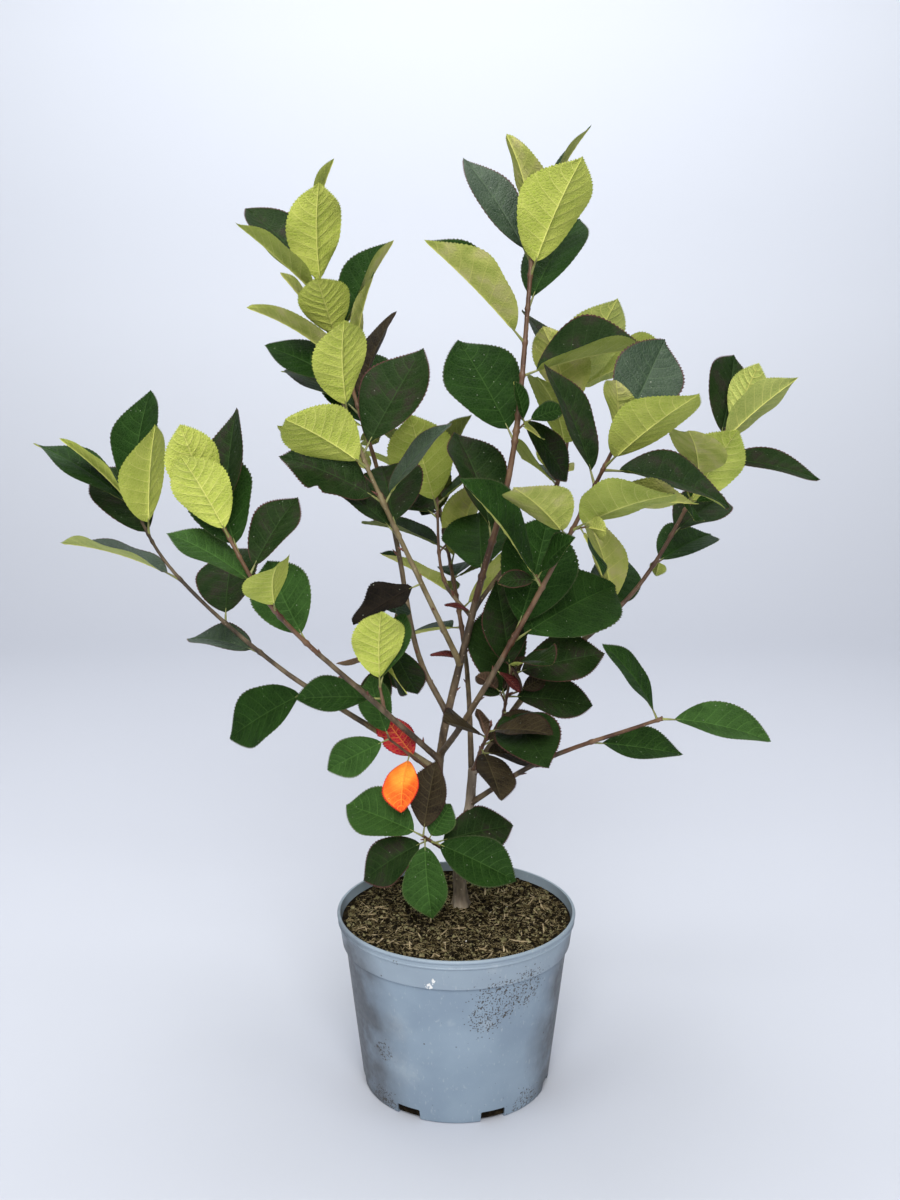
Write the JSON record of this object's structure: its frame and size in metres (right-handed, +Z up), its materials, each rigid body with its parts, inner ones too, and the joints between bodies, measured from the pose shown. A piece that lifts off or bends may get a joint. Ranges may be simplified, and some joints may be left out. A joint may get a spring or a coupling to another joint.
{
  "type": "potted chokeberry shrub",
  "caption": "Young chokeberry shrub with slim upright stems and broad toothed leaves, dark above and pale below, growing in a round tapered nursery pot of compost.",
  "frame": {"origin": "centre of the pot's flat underside", "axes": "+Z up along the pot's axis, +X to the right and +Y to the back as seen from the front"},
  "size_m": [0.6276, 0.3817, 0.743],
  "materials": {
    "pot": "matte blue-grey injection-moulded plastic with scuffs and specks of compost",
    "soil": "moist fibrous potting compost",
    "bark": "smooth grey-brown bark, redder on the young ends",
    "foliage": "leathery leaves, glossy dark green above and pale yellow-green below"
  },
  "bodies": {
    "root": {"pot": "pot", "soil": "soil", "trunk": "bark", "stem_leader": "bark", "stem_second": "bark", "bough_left_front": "bark", "bough_left_back": "bark", "bough_up_left_front": "bark", "bough_up_left_back": "bark", "bough_front_right": "bark", "bough_right": "bark", "bough_low_right": "bark", "bough_back_right": "bark", "bough_back": "bark", "bough_inner_back": "bark", "foliage_leader": "foliage", "foliage_left_front": "foliage", "foliage_left_back": "foliage", "foliage_up_left_front": "foliage", "foliage_up_left_back": "foliage", "foliage_front_right": "foliage", "foliage_right": "foliage", "foliage_low_right": "foliage", "foliage_back_right": "foliage", "foliage_back": "foliage", "foliage_inner_back": "foliage", "foliage_base": "foliage", "foliage_low_left": "foliage", "foliage_left_spur": "foliage", "foliage_inner_left": "foliage", "foliage_inner_right": "foliage", "foliage_low_inner": "foliage"}
  },
  "joints": []
}
